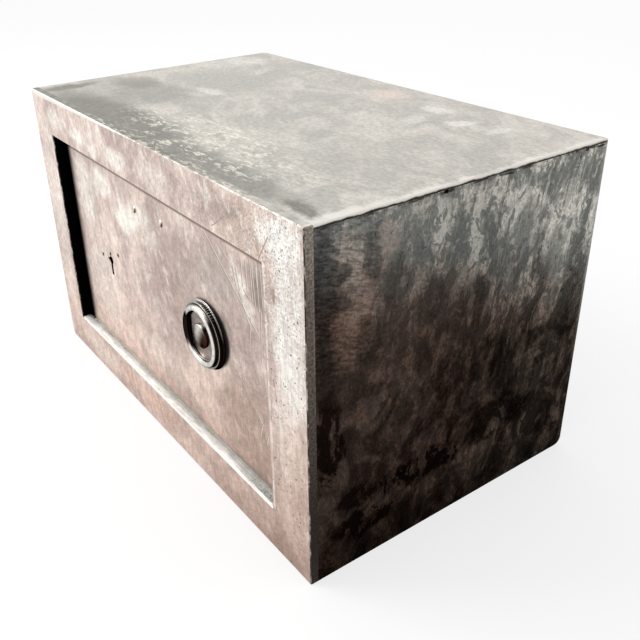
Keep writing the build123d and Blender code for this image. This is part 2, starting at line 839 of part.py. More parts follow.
def nodes():
    outside = envelope()
    parts = {**shell_plates(outside), **front_frame(outside), **jambs(), **door_stops(), **pivots()}
    parts["door_plate"] = door_plate()
    parts["plate_rivets"] = plate_rivets()
    parts["spindle_bush"] = spindle_bush()
    parts["knob"] = knob()
    parts["knob_cap_nut"] = knob_cap_nut()
    parts["spindle"] = spindle()
    parts["pinion"] = pinion()
    parts.update(pinion_fixings())
    parts["bolt_carriage"] = bolt_carriage()
    for name, z in zip(("lower_bolt", "middle_bolt", "upper_bolt"), bolt_zs):
        parts[name] = bolt(z)
    parts["bolt_screws"] = screws_at(bolt_screw_spots(), bolt_screw_l)
    parts["bolt_guide"] = bolt_guide()
    for name, x in zip(("arm_strap_left", "arm_strap_right"), strap_xs):
        parts[name] = arm_strap(x)
    parts["guide_screws"] = screws_at(guide_screw_spots(), guide_screw_l)
    parts["lock_floor"] = lock_floor()
    parts["lock_rim"] = lock_rim()
    parts["lock_cap"] = lock_cap()
    parts["lock_stump"] = lock_stump()
    parts["lock_ward"] = lock_ward()
    parts["lock_bolt"] = lock_bolt()
    parts["lock_spring"] = lock_spring()
    parts["case_screws"] = screws_at(case_screw_spots(), case_screw_l)
    parts["cap_screws"] = screws_at(cap_screw_spots(), cap_screw_l)
    return parts


def main():
    os.makedirs("parts", exist_ok=True)
    for name, shape in nodes().items():
        solids = shape if isinstance(shape, list) else shape.solids()
        whole = Compound(children=[*solids]) if len(solids) > 1 else solids[0]
        export_step(whole, f"parts/{name}.step")


main()
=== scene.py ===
import json
import math

import bmesh
import bpy
from mathutils import Matrix, Vector

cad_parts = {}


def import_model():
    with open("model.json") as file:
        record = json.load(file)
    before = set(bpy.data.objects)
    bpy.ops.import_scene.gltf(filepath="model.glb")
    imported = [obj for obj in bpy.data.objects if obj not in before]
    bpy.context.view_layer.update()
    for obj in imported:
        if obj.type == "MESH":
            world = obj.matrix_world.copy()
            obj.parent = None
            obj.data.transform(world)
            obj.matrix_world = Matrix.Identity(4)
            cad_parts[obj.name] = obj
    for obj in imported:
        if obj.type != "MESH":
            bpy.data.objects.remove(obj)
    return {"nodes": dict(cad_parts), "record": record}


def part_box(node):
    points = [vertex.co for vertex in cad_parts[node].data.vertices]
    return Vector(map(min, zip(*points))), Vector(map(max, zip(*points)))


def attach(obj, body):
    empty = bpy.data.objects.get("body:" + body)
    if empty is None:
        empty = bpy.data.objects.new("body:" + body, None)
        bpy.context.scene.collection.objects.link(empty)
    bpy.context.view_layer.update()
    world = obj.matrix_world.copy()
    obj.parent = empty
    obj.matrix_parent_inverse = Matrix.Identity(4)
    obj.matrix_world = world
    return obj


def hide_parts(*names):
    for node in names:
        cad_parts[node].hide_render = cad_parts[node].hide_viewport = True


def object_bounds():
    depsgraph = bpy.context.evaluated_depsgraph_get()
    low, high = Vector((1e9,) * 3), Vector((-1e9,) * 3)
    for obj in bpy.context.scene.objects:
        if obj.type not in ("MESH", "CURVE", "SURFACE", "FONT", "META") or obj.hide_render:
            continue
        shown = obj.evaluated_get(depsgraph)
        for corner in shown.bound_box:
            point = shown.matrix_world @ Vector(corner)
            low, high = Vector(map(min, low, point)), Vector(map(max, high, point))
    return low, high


# An antique steel strongbox: bare brushed steel in front, dark scale on its sides, a turned knob.
# The scene is in metres, in the frame of the model. Lengths inside materials are millimetres.

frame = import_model()
cad_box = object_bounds()
nodes = frame["nodes"]


def box_mm(node):
    """The low and the high corner of a node, in mm."""
    low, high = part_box(node)
    return low * 1000.0, high * 1000.0


# Places in mm that the materials are laid out from
low_corner, high_corner = (corner * 1000.0 for corner in cad_box)
front_face = low_corner.y
right_face = high_corner.x
back_face = high_corner.y
crown_face = high_corner.z
bar_back = box_mm("frame_top_rail")[1].y
opening_left = box_mm("frame_left_stile")[1].x
opening_right = box_mm("frame_right_stile")[0].x
opening_foot = box_mm("frame_bottom_rail")[1].z
opening_head = box_mm("frame_top_rail")[0].z
knob_low, knob_high = box_mm("knob")
knob_x = (knob_low.x + knob_high.x) / 2
knob_z = (knob_low.z + knob_high.z) / 2
knob_back = knob_high.y

# The photograph's viewpoint, and its focal length and principal point in pixels
camera_place = Vector((0.4916, -0.3261, 0.3896))
camera_forward = Vector((-0.73245172, 0.4997306, -0.4623676))
camera_right = Vector((0.57441266, 0.81816332, -0.02566853))
focal_pixels = 790.16
principal_point = (293.275, 298.612)
picture_size = 640
sensor = 36.0

# Reflectances of the bare steel in front
SHINE = (1.0, 0.975, 0.92)
CREAM = (0.97, 0.91, 0.83)
PINK = (0.83, 0.68, 0.60)
MAUVE = (0.60, 0.48, 0.435)
UMBER = (0.46, 0.34, 0.28)
RUST = (0.80, 0.56, 0.42)
# Worn steel, and the colour of painted highlights on the knob, the frame's top edge and the leaf's foot
WORN_AND_HIGHLIGHT = (0.90, 0.88, 0.83)
ASH = (0.56, 0.50, 0.455)
DUSK = (0.34, 0.28, 0.245)
SCRATCH = (0.34, 0.25, 0.21)
SPECK = (0.34, 0.26, 0.21)
PIT = (0.10, 0.075, 0.06)
# Painted shade and shadow on the leaf: at its foot, beside the right stile (with dirt), under the top
# rail, beside the knob and in the small holes
LEAF_FOOT_SHADE = (0.30, 0.28, 0.25)
RECESS_GRIME_AND_SHADE = (0.40, 0.31, 0.27)
HEAD_SHADE = (0.24, 0.175, 0.14)
KNOB_SHADE = (0.022, 0.017, 0.014)
PIN_HOLE = (0.05, 0.03, 0.022)
# The ledge: bright at its front edge, with painted shade towards the leaf, and dull at its right end
LEDGE_EDGE = (1.0, 0.985, 0.96)
LEDGE_SHADED_ROOT = (0.80, 0.79, 0.765)
LEDGE_DULL = (0.56, 0.57, 0.54)
CHIPPED = (0.30, 0.27, 0.24)
LEFT_EDGE = (0.24, 0.15, 0.11)
# Painted shade on the frame's edges that face right and down
RIGHT_EDGE_SHADE = (0.055, 0.040, 0.032)
LOWER_EDGE_SHADE = (0.16, 0.11, 0.09)
# The bars' thickness on the right side, with painted shade down to the foot
STRIP_FOOT = (0.016, 0.010, 0.008)
STRIP_HEAD = (0.115, 0.092, 0.078)
STRIP_CROWN = (0.22, 0.195, 0.165)
WEB = (0.42, 0.36, 0.33)
# Painted shade on the knob's faces that lean away
KNOB_SHADE_DARK = (0.016, 0.010, 0.008)

# Reflectances of the top, the sides and the inside
FLECK = (0.86, 0.82, 0.71)
BEIGE = (0.69, 0.65, 0.59)
GREY = (0.52, 0.50, 0.455)
SLATE = (0.255, 0.247, 0.213)
CROWN_SEAM = (0.03, 0.025, 0.02)
STREAK = (0.50, 0.485, 0.44)
DULL_STREAK = (0.29, 0.27, 0.24)
BLUE = (0.150, 0.153, 0.144)
TAN = (0.30, 0.262, 0.226)
SCALE = (0.060, 0.063, 0.060)
SOOT = (0.008, 0.005, 0.004)
# Painted shadow, for the left reveal, the leaf's left edge, the keyhole and the hinge jamb's gap
PAINTED_SHADE_BLACK = (0.003, 0.002, 0.002)
REAR_EDGE = (0.42, 0.40, 0.36)
SHEET_INSIDE = (0.32, 0.30, 0.27)
JAMB = (0.40, 0.38, 0.35)
JAMB_DARK = (0.25, 0.23, 0.21)
LEAF_INSIDE = (0.38, 0.37, 0.35)
LEAF_INSIDE_DARK = (0.25, 0.235, 0.215)

# Casts, which multiply a colour
WARM_CAST = (1.03, 0.945, 0.90)
FOOT_CAST = (0.60, 0.54, 0.51)
BROWN_CAST = (1.0, 0.735, 0.66)
REAR_CAST = (1.0, 0.82, 0.76)


class Graph:
    """The nodes of one material. Values are sockets, numbers or colours, and lengths are mm."""

    def __init__(self, name):
        self.material = bpy.data.materials.new(name)
        self.material.use_nodes = True
        self.tree = self.material.node_tree
        self.tree.nodes.clear()
        coordinates = self.add("ShaderNodeTexCoord")
        self.place = self.vector("SCALE", coordinates.outputs["Object"], scale=1000.0)
        split = self.add("ShaderNodeSeparateXYZ", {0: self.place})
        self.x, self.y, self.z = split.outputs
        facing = self.add("ShaderNodeSeparateXYZ", {0: coordinates.outputs["Normal"]})
        self.nx, self.ny, self.nz = facing.outputs
        self.warped = self.place

    def add(self, kind, inputs=None, **settings):
        node = self.tree.nodes.new(kind)
        for name, value in settings.items():
            setattr(node, name, value)
        for key, value in (inputs or {}).items():
            self.set(node.inputs[key], value)
        return node

    def set(self, socket, value):
        if isinstance(value, bpy.types.NodeSocket):
            self.tree.links.new(value, socket)
        elif isinstance(value, tuple) and socket.type == "RGBA":
            socket.default_value = (*value, 1.0)
        else:
            socket.default_value = value

    def math(self, operation, first, second=0.0, clamp=False):
        inputs = {0: first, 1: second}
        return self.add("ShaderNodeMath", inputs, operation=operation, use_clamp=clamp).outputs[0]

    def vector(self, operation, first, second=(0, 0, 0), scale=1.0):
        node = self.add("ShaderNodeVectorMath", {0: first, 1: second}, operation=operation)
        if operation == "SCALE":
            self.set(node.inputs["Scale"], scale)
        return node.outputs["Value" if operation == "LENGTH" else "Vector"]

    def times(self, *values):
        product = values[0]
        for value in values[1:]:
            product = self.math("MULTIPLY", product, value)
        return product

    def sum(self, *values):
        total = values[0]
        for value in values[1:]:
            total = self.math("ADD", total, value)
        return total

    def rise(self, value, low, high, start=0.0, end=1.0):
        """A smooth step of the value from low to high. It falls where high is under low."""
        if high < low:
            low, high, start, end = high, low, end, start
        inputs = {"Value": value, "From Min": low, "From Max": high, "To Min": start, "To Max": end}
        node = self.add("ShaderNodeMapRange", inputs, interpolation_type="SMOOTHSTEP")
        return node.outputs["Result"]

    def band(self, value, low, high, soft):
        """1 between low and high, with soft flanks."""
        return self.times(self.rise(value, low - soft, low), self.rise(value, high + soft, high))

    def noise(
        self, sizes, detail=3.0, rough=0.55, twist=0.0, turn=(0, 0, 0), shift=(0, 0, 0), output="Fac"
    ):
        """Noise whose features have these sizes along X, Y and Z, after a turn in degrees."""
        sizes = sizes if isinstance(sizes, tuple) else (sizes,) * 3
        place = self.place
        if any(turn):
            turned = {"Vector": place, "Rotation": tuple(math.radians(angle) for angle in turn)}
            place = self.add("ShaderNodeMapping", turned, vector_type="POINT").outputs[0]
        scaled = {"Vector": place, "Location": shift, "Scale": tuple(1.0 / size for size in sizes)}
        place = self.add("ShaderNodeMapping", scaled, vector_type="POINT").outputs[0]
        inputs = {"Vector": place, "Scale": 1.0, "Detail": detail, "Roughness": rough, "Distortion": twist}
        return self.add("ShaderNodeTexNoise", inputs).outputs[output]

    def warp(self, size, reach):
        """Shifts the place of later spots by up to this reach, so that their outlines wander."""
        drift = self.noise(size, detail=4, rough=0.6, shift=(11, 5, 3), output="Color")
        drift = self.vector("SCALE", self.vector("SUBTRACT", drift, (0.5, 0.5, 0.5)), scale=2 * reach)
        self.warped = self.vector("ADD", self.place, drift)

    def mix(self, share, first, second):
        inputs = {"Factor": share, 6: first, 7: second}
        return self.add("ShaderNodeMix", inputs, data_type="RGBA").outputs[2]

    def grey(self, value):
        """A grey of this value, which may be a socket."""
        if isinstance(value, bpy.types.NodeSocket):
            return self.add("ShaderNodeCombineXYZ", {0: value, 1: value, 2: value}).outputs[0]
        return (value, value, value)

    def shade(self, colour, factor):
        """The colour times a factor or another colour."""
        if not isinstance(factor, tuple) and getattr(factor, "type", "VALUE") == "VALUE":
            factor = self.grey(factor)
        inputs = {"Factor": 1.0, 6: colour, 7: factor}
        return self.add("ShaderNodeMix", inputs, data_type="RGBA", blend_type="MULTIPLY").outputs[2]

    def spot(self, centre, radii, soft=0.6):
        """1 at the centre of an ellipsoid and 0 past its radii. A radius of None has no limit."""
        scale = tuple(0.0 if radius is None else 1.0 / radius for radius in radii)
        from_centre = self.vector("SUBTRACT", self.warped, centre)
        distance = self.vector("LENGTH", self.vector("MULTIPLY", from_centre, scale))
        return self.rise(distance, 1.0, 1.0 - soft)

    def line(self, start, end, width, flat):
        """A line from start to end, seen along the axis that is flat."""
        keep = tuple(0.0 if index == flat else 1.0 for index in range(3))
        along = Vector(end) - Vector(start)
        from_start = self.vector("MULTIPLY", self.vector("SUBTRACT", self.place, start), keep)
        inputs = {0: from_start, 1: tuple(along / along.length_squared)}
        step = self.add("ShaderNodeVectorMath", inputs, operation="DOT_PRODUCT").outputs["Value"]
        nearest = self.vector("SCALE", tuple(along), scale=self.math("ADD", step, 0.0, clamp=True))
        distance = self.vector("LENGTH", self.vector("SUBTRACT", from_start, nearest))
        return self.rise(distance, width, width * 0.3)

    def bump(self, height, depth):
        """A normal for a height map whose full range is this depth."""
        inputs = {"Height": height, "Strength": 1.0, "Distance": depth / 1000.0}
        return self.add("ShaderNodeBump", inputs).outputs[0]

    def surface(self, colour, rough, normal, glance=1.0):
        """Metal. The glance is what it reflects where it is seen nearly edge on."""
        inputs = {"Base Color": colour, "Roughness": rough, "Metallic": 1.0, "Normal": normal}
        inputs["Specular Tint"] = self.grey(glance)
        shader = self.add("ShaderNodeBsdfPrincipled", inputs)
        output = self.add("ShaderNodeOutputMaterial")
        self.tree.links.new(shader.outputs[0], output.inputs[0])
        return self.material


# Marks that show in the photograph: where (mm), how far they reach, colour and share.
# Places are (x, z) on the front, (x, y) on the top and (y, z) on the side.

# The cream marks high on the front's left are partly wear and partly painted reflection
RAIL_MARKS = (
    ((-106, 221), (19, 9), CREAM, 0.9),
    ((-76, 216), (14, 7), CREAM, 0.85),
    ((-30, 220), (26, 10), CREAM, 0.9),
    ((-150, 224), (28, 12), CREAM, 0.6),
    ((30, 222), (30, 14), CREAM, 0.4),
    ((90, 226), (40, 20), MAUVE, 0.5),
    ((134, 222), (36, 18), UMBER, 0.45),
    ((187, 178), (24, 84), SHINE, 1.0),
    ((182, 226), (34, 18), SHINE, 1.0),
    ((172, 90), (12, 60), CREAM, 0.4),
    ((178, 60), (30, 60), MAUVE, 0.5),
    ((-183, 130), (20, 120), CREAM, 0.35),
    ((184, 14), (34, 22), UMBER, 0.35),
    ((166, 60), (8, 60), UMBER, 0.45),
    ((170, 192), (2.6, 8), UMBER, 0.9),
    ((120, 226), (30, 8), DUSK, 0.35),
    ((194, 70), (8, 70), UMBER, 0.4),
    ((-120, 16), (60, 16), CREAM, 0.45),
    ((-30, 20), (70, 10), RUST, 0.35),
)
LEAF_MARKS = (
    ((-46, 167), (28, 15), CREAM, 0.95),
    ((-86, 184), (26, 15), CREAM, 0.85),
    ((-18, 178), (22, 12), CREAM, 0.75),
    ((-125, 170), (24, 42), CREAM, 0.7),
    ((-115, 85), (50, 45), CREAM, 0.35),
    ((-5, 66), (70, 18), CREAM, 0.35),
    ((20, 128), (60, 60), MAUVE, 0.9),
    ((44, 156), (60, 46), MAUVE, 0.9),
    ((110, 160), (50, 50), MAUVE, 0.7),
    ((-12, 118), (34, 15), MAUVE, 0.7),
    ((30, 95), (26, 14), MAUVE, 0.5),
    ((128, 72), (56, 56), UMBER, 0.85),
    ((146, 190), (14, 20), MAUVE, 0.7),
    ((86, 172), (34, 22), ASH, 0.6),
    ((124, 178), (10, 12), CREAM, 0.85),
    ((130, 162), (10, 12), CREAM, 0.5),
    ((142, 182), (9, 19), DUSK, 0.9),
    ((8, 136), (60, 36), UMBER, 0.45),
    ((60, 176), (44, 16), UMBER, 0.4),
    ((-110, 79.5), (2.2, 1.8), UMBER, 0.9),
)
TOP_MARKS = (
    ((-88, -8), (24, 10), WORN_AND_HIGHLIGHT, 0.65),
    ((78, 88), (18, 11), WORN_AND_HIGHLIGHT, 0.6),
    ((116, 74), (10, 15), WORN_AND_HIGHLIGHT, 0.6),
    ((146, 80), (8, 18), WORN_AND_HIGHLIGHT, 0.45),
    ((86, 58), (11, 16), WORN_AND_HIGHLIGHT, 0.4),
    ((-175, 70), (30, 45), WORN_AND_HIGHLIGHT, 0.35),
    ((-120, -50), (70, 40), SLATE, 0.45),
    ((20, 92), (26, 15), PINK, 0.6),
    ((-112, 22), (74, 44), GREY, 0.85),
    ((-160, -40), (38, 26), SLATE, 0.5),
    ((-182, -92), (14, 34), SLATE, 0.9),
    ((-60, -106), (160, 38), SLATE, 0.95),
    ((90, -108), (100, 24), SLATE, 0.75),
    ((130, -30), (46, 60), GREY, 0.45),
    ((178, -105), (24, 8), SLATE, 0.9),
)
SIDE_MARKS = (
    ((-98, 201), (9, 9), SCALE, 1.0),
    ((-109, 190), (7, 62), SCALE, 0.95),
    ((-102, 176), (8, 9), SCALE, 1.0),
    ((-44, 212), (18, 26), BLUE, 0.6),
    ((-10, 185), (20, 30), BLUE, 0.5),
    ((-26, 222), (10, 20), STREAK, 0.8),
    ((4, 205), (7, 42), STREAK, 0.8),
    ((46, 205), (22, 36), STREAK, 0.5),
    ((84, 185), (18, 46), STREAK, 0.55),
    ((-84, 168), (20, 30), STREAK, 0.6),
    ((108, 130), (13, 40), BLUE, 0.8),
)
SIDE_SHAPES = (
    ((-90, 190), (19, 50), TAN, 0.7),
    ((-66, 218), (9, 22), TAN, 0.6),
    ((-108, 208), (11, 50), SCALE, 0.8),
    ((-97, 209), (10, 9), SCALE, 0.75),
    ((-99, 193), (13, 9), SCALE, 0.75),
    ((-75, 216), (8, 20), SCALE, 0.6),
    ((-76, 162), (12, 22), SCALE, 0.6),
    ((-109, 150), (11, 22), SCALE, 0.75),
    ((-58, 190), (12, 30), SCALE, 0.45),
    ((-30, 172), (13, 24), SCALE, 0.45),
    ((4, 164), (20, 16), SCALE, 0.5),
    ((48, 192), (9, 34), BLUE, 0.7),
    ((80, 172), (13, 26), BLUE, 0.6),
)
# Where, how far and share
SIDE_STAINS = (
    ((-106, 100), (14, 40), 0.9),
    ((-78, 30), (30, 13), 0.95),
    ((-30, 50), (46, 13), 0.95),
    ((-74, 52), (36, 9), 0.8),
    ((40, 60), (40, 20), 0.7),
    ((80, 45), (30, 26), 0.6),
)
# Start, end and width
RAIL_SCRATCHES = (
    ((167, 226), (157, 210), 0.8),
    ((153, 220), (158, 212), 0.6),
    ((122, 224), (106, 213), 0.5),
    ((111, 216), (95, 222), 0.4),
)
LEAF_SCRATCHES = (
    ((80, 199.5), (140, 150.5), 0.6),
    ((88, 204), (118, 183), 0.35),
    ((114, 187.5), (117, 175), 0.7),
    ((117.5, 188), (121, 174), 0.6),
    ((136, 196), (138, 170), 0.6),
    ((141, 198), (142, 168), 0.6),
    ((145, 196), (146, 172), 0.5),
    ((124, 196), (125, 178), 0.6),
    ((134, 199), (135, 172), 0.5),
    ((126, 176), (133, 172), 0.6),
    ((120, 172), (132, 150), 0.5),
    ((132, 160), (129, 140), 0.5),
    ((144, 168), (142, 132), 0.5),
    ((129, 197), (130, 176), 0.5),
    ((140, 196), (141, 184), 0.5),
    ((139, 84), (136, 74), 0.5),
    ((146, 80), (143, 71), 0.45),
    ((112, 110), (140, 84), 0.35),
)
# Middles of small holes, and the sides of the keyhole
PIN_HOLES = ((-104.6, 117.9), (-87.9, 123.8), (-71.4, 128.3))
KEYHOLE_SIDES = (-97.0, -83.0)


def marked(g, colour, marks, flat, soft=0.6):
    """The colour with these marks on the face that is seen along the flat axis."""
    for centre, radii, tone, share in marks:
        place = list(centre)
        reach = list(radii)
        place.insert(flat, 0.0)
        reach.insert(flat, None)
        colour = g.mix(g.times(g.spot(tuple(place), tuple(reach), soft), share), colour, tone)
    return colour


def scratched(g, colour, scratches, share, burr=0.0):
    """The front's colour with these scratches. The burr is the share of a bright line beside each."""
    for start, end, width in scratches:
        low, high = (start[0], 0.0, start[1]), (end[0], 0.0, end[1])
        colour = g.mix(g.times(g.line(low, high, width, 1), share), colour, SCRATCH)
        if burr:
            beside = [(x + 0.9, y, z + 0.5) for x, y, z in (low, high)]
            colour = g.mix(g.times(g.line(*beside, width, 1), burr), colour, CREAM)
    return colour


def brushed_front(g, marks):
    """Bare steel with cream bloom, which is partly wear and partly painted reflection, and mauve clouds,
    the height for its bump, and its roughness.
    """
    g.warp(24.0, 9.0)
    cloud = g.noise((44, 44, 60), detail=4, rough=0.6, twist=0.5)
    fine = g.noise((5, 5, 7), detail=4, rough=0.65, shift=(3, 0, 5))
    colour = g.mix(g.rise(cloud, 0.38, 0.62), PINK, MAUVE)
    colour = g.mix(g.times(g.rise(g.z, 80.0, 0.0), 0.35), colour, UMBER)
    colour = marked(g, colour, marks, 1)
    # Cream streaks, partly wear and partly painted reflection, more of them higher up, and umber stains
    rubbed_and_lit = g.noise((13, 13, 24), detail=5, rough=0.66, twist=0.8, turn=(0, 22, 0), shift=(4, 0, 2))
    bloom, stain = (g.rise(g.z, 40.0, 190.0, 0.22, most) for most in (0.5, 0.4))
    colour = g.mix(g.rise(rubbed_and_lit, 0.53, 0.64, 0.0, bloom), colour, CREAM)
    colour = g.mix(g.rise(rubbed_and_lit, 0.45, 0.33, 0.0, stain), colour, UMBER)
    tiny = g.noise((2.0, 2.0, 2.8), detail=3, rough=0.7, shift=(1, 0, 8))
    colour = g.shade(colour, g.rise(tiny, 0.3, 0.7, 0.91, 1.08))
    brush = g.noise((0.6, 0.6, 36), detail=2, rough=0.7)
    slanted = g.noise((14, 14, 0.7), detail=2, rough=0.7, turn=(0, 32, 0))
    colour = g.shade(colour, g.rise(brush, 0.3, 0.7, 0.90, 1.08))
    colour = g.shade(colour, g.rise(slanted, 0.3, 0.7, 0.93, 1.05))
    colour = g.shade(colour, g.rise(fine, 0.32, 0.68, 0.83, 1.14))
    colour = g.mix(g.rise(g.z, 150.0, 30.0, 0.0, 0.7), colour, g.shade(colour, WARM_CAST))
    height = g.sum(g.times(brush, 0.35), g.times(slanted, 0.25), g.times(fine, 0.6))
    return colour, height, g.rise(cloud, 0.35, 0.65, 0.36, 0.5)


def front_wear(g, colour, grain, corner, pitted):
    """The frame's front with specks round its upper right corner, and pits and dark rims on the stile."""
    colour = g.shade(colour, g.sum(1.0, g.times(g.rise(grain, 0.35, 0.65, -0.16, 0.12), corner)))
    specks = g.rise(g.noise((1.5, 1.5, 1.9), detail=2, rough=0.6, shift=(2, 0, 7)), 0.44, 0.36)
    colour = g.mix(g.times(specks, corner, 0.8), colour, SPECK)
    colour = g.mix(pitted, colour, PIT)
    cross = g.noise((9, 9, 0.7), detail=2, rough=0.7)
    crossed = g.times(g.rise(cross, 0.62, 0.50), g.spot((192, 0, 185), (22, None, 60)), 0.28)
    colour = g.mix(crossed, colour, UMBER)
    ragged = g.sum(g.x, g.times(grain, 4.0))
    patches = g.rise(g.noise((3, 3, 9)), 0.42, 0.6)
    rim = g.times(g.rise(ragged, right_face - 2.5, right_face), patches)
    return g.mix(g.times(rim, 0.6), colour, UMBER)


def side_strip(g, grain):
    """The bars' thickness, which shows on the right side: painted shade, darker towards the foot."""
    strip = g.mix(g.rise(g.z, 30.0, 200.0), STRIP_FOOT, STRIP_HEAD)
    strip = g.mix(g.rise(g.z, 190.0, crown_face), strip, STRIP_CROWN)
    strip = g.shade(strip, g.rise(grain, 0.3, 0.7, 0.55, 1.5))
    seam = g.times(g.band(g.y, bar_back - 0.8, bar_back - 0.4, 0.3), g.rise(g.z, 110.0, 200.0), 0.25)
    return g.mix(seam, strip, CHIPPED)


def ledge_steel(g):
    """The bottom rail's upper face: bright at its edge, with painted shade greying it towards the leaf,
    and dull at its right end.
    """
    crumbs = g.noise((2.6, 2.6, 2.6), detail=3, rough=0.7)
    ledge = g.mix(g.rise(g.y, front_face + 2.4, bar_back - 0.2), LEDGE_EDGE, LEDGE_SHADED_ROOT)
    ledge = g.shade(ledge, g.rise(g.noise((14, 3, 3), detail=4, rough=0.65), 0.3, 0.7, 0.84, 1.08))
    dull = g.times(g.rise(g.x, 95.0, 150.0), g.rise(g.y, front_face + 1.4, front_face + 2.6))
    return g.mix(dull, ledge, g.shade(LEDGE_DULL, g.rise(crumbs, 0.35, 0.65, 0.7, 1.25)))


def crown_strip(g, smooth):
    """The bars' thickness on the top, which looks like the top plate behind it."""
    crown = g.mix(g.rise(g.x, 188.0, 199.0), g.mix(g.rise(g.x, 30.0, 190.0), SLATE, GREY), BEIGE)
    flake = g.rise(g.noise((9.0, 3.4, 9.0), detail=5, rough=0.68, twist=0.8), 0.50, 0.57)
    flaked = g.times(g.rise(g.x, -110.0, -50.0), g.rise(g.x, 195.0, 120.0), 0.6)
    return g.shade(g.mix(g.times(flake, flaked), crown, FLECK), g.rise(smooth, 0.3, 0.7, 0.8, 1.3))


def worn_arrises(g, colour, smooth):
    """The frame's edges: bright where hands rub them, chipped along the top, brown on the left, with a
    painted highlight along the front's top edge and painted shade on edges that face right and down.
    """
    axial = g.math("MAXIMUM", g.math("ABSOLUTE", g.nx), g.math("ABSOLUTE", g.ny))
    edge = g.rise(g.math("MAXIMUM", axial, g.math("ABSOLUTE", g.nz)), 0.95, 0.8)
    worn = g.rise(g.noise((7, 7, 7), detail=3), 0.3, 0.6, 0.25, 1.0)
    patches = g.rise(g.noise((5, 5, 5), detail=2), 0.42, 0.6, 0.15, 0.9)
    broken = g.rise(g.x, -40.0, 120.0, 1.0, patches)
    colour = g.mix(g.times(edge, worn, broken), colour, WORN_AND_HIGHLIGHT)
    # A painted highlight along the front's top edge, widest on the left
    upper = g.sum(g.z, g.rise(g.x, -right_face, 60.0, 2.6, -1.0), g.times(smooth, 1.6))
    shoulder = g.times(g.rise(upper, crown_face - 0.8, crown_face + 0.2), g.rise(g.ny, -0.5, -0.8))
    colour = g.mix(g.times(shoulder, 0.9), colour, WORN_AND_HIGHLIGHT)
    # Painted shade on the edges that face right
    torn = g.rise(g.noise((3, 3, 7), detail=3), 0.35, 0.55, 0.45, 1.0)
    colour = g.mix(g.times(edge, g.rise(g.nx, 0.3, 0.55), torn), colour, RIGHT_EDGE_SHADE)
    # Painted shade on the edges that face down
    under = g.times(g.rise(g.nz, -0.5, -0.65), edge)
    colour = g.mix(g.times(under, 0.9), colour, LOWER_EDGE_SHADE)
    scored = g.noise((1.3, 1.3, 40), detail=2, rough=0.6, shift=(6, 0, 0))
    on_stile = g.times(g.rise(g.x, opening_right - 3, opening_right + 3), g.rise(g.ny, -0.7, -0.9))
    colour = g.mix(g.times(g.rise(scored, 0.46, 0.36), on_stile, 0.3), colour, UMBER)
    gaps = g.times(edge, g.rise(g.nz, 0.1, 0.3), g.rise(g.z, 200.0, 210.0), g.rise(g.x, -90.0, 30.0))
    gaps = g.times(gaps, g.rise(g.noise((4.5, 4.5, 4.5), detail=4, rough=0.7), 0.64, 0.40, 0.45, 1.0))
    colour = g.mix(gaps, colour, CHIPPED)
    return g.mix(g.times(edge, g.rise(g.nx, -0.3, -0.5), 0.85), colour, LEFT_EDGE)


def stile_lines(g, colour):
    """A painted shade line and a painted highlight line down the right stile, beside the leaf."""
    beside_leaf = g.band(g.z, opening_foot + 2, opening_head - 0.4, 2.0)
    stile_shade_line = g.band(g.x, opening_right + 0.2, opening_right + 1.0, 0.3)
    colour = g.mix(g.times(stile_shade_line, beside_leaf, 0.6), colour, DUSK)
    stile_highlight_line = g.band(g.x, opening_right + 1.7, opening_right + 3.2, 0.4)
    lit = g.rise(g.noise((4, 4, 12), detail=3), 0.38, 0.58, 0.1, 0.6)
    return g.mix(g.times(stile_highlight_line, beside_leaf, lit), colour, SHINE)


def darker_foot_corner(g, colour):
    """The frame's front, darker towards its lower right corner."""
    uneven_height = g.sum(g.z, g.times(g.noise((14, 14, 10), detail=3), 16.0))
    foot = g.times(g.rise(g.x, 40.0, 190.0), g.rise(uneven_height, 40.0, 10.0))
    return g.mix(foot, colour, g.shade(colour, FOOT_CAST))


def frame_steel():
    """The four bars round the opening: the front, the strips on the top and side, the reveals."""
    g = Graph("frame_steel")
    colour, height, rough = brushed_front(g, RAIL_MARKS)
    colour = scratched(g, colour, RAIL_SCRATCHES, 0.8)
    colour = darker_foot_corner(g, stile_lines(g, colour))
    grain = g.noise(1.6, detail=2, rough=0.6, shift=(0, 0, 9))
    along_top = g.times(g.spot((120, 0, 222), (120, None, 26), 0.8), 0.7)
    corner = g.math("MAXIMUM", g.spot((168, 0, 210), (62, None, 66), 0.8), along_top)
    on_stile = g.rise(g.x, opening_right - 3, opening_right + 5)
    pits = g.rise(g.noise((2.0, 2.0, 2.4), detail=1, shift=(5, 0, 1)), 0.37, 0.30)
    pitted = g.times(pits, on_stile, g.rise(g.noise(16, detail=2), 0.40, 0.58))
    colour = front_wear(g, colour, grain, corner, pitted)
    colour = g.mix(g.rise(g.nx, 0.8, 0.95), colour, side_strip(g, grain))
    smooth = g.noise((9, 9, 9), detail=4)
    above = g.mix(g.rise(g.z, 100.0, 110.0), ledge_steel(g), crown_strip(g, smooth))
    colour = g.mix(g.rise(g.nz, 0.25, 0.6), colour, above)
    # Painted shadow: the left reveal, which faces away from the light, is black
    left_reveal_shade = g.times(g.band(g.x, opening_left - 6, opening_left + 4, 1.0), g.rise(g.nx, 0.5, 0.7))
    colour = g.mix(left_reveal_shade, colour, PAINTED_SHADE_BLACK)
    colour = worn_arrises(g, colour, smooth)
    height = g.sum(height, g.times(grain, corner, 1.2), g.times(pitted, -1.0))
    rough = g.sum(rough, g.times(g.rise(g.nz, 0.5, 0.8), g.rise(g.z, 110.0, 100.0), 0.5))
    return g.surface(colour, rough, g.bump(height, 0.25))


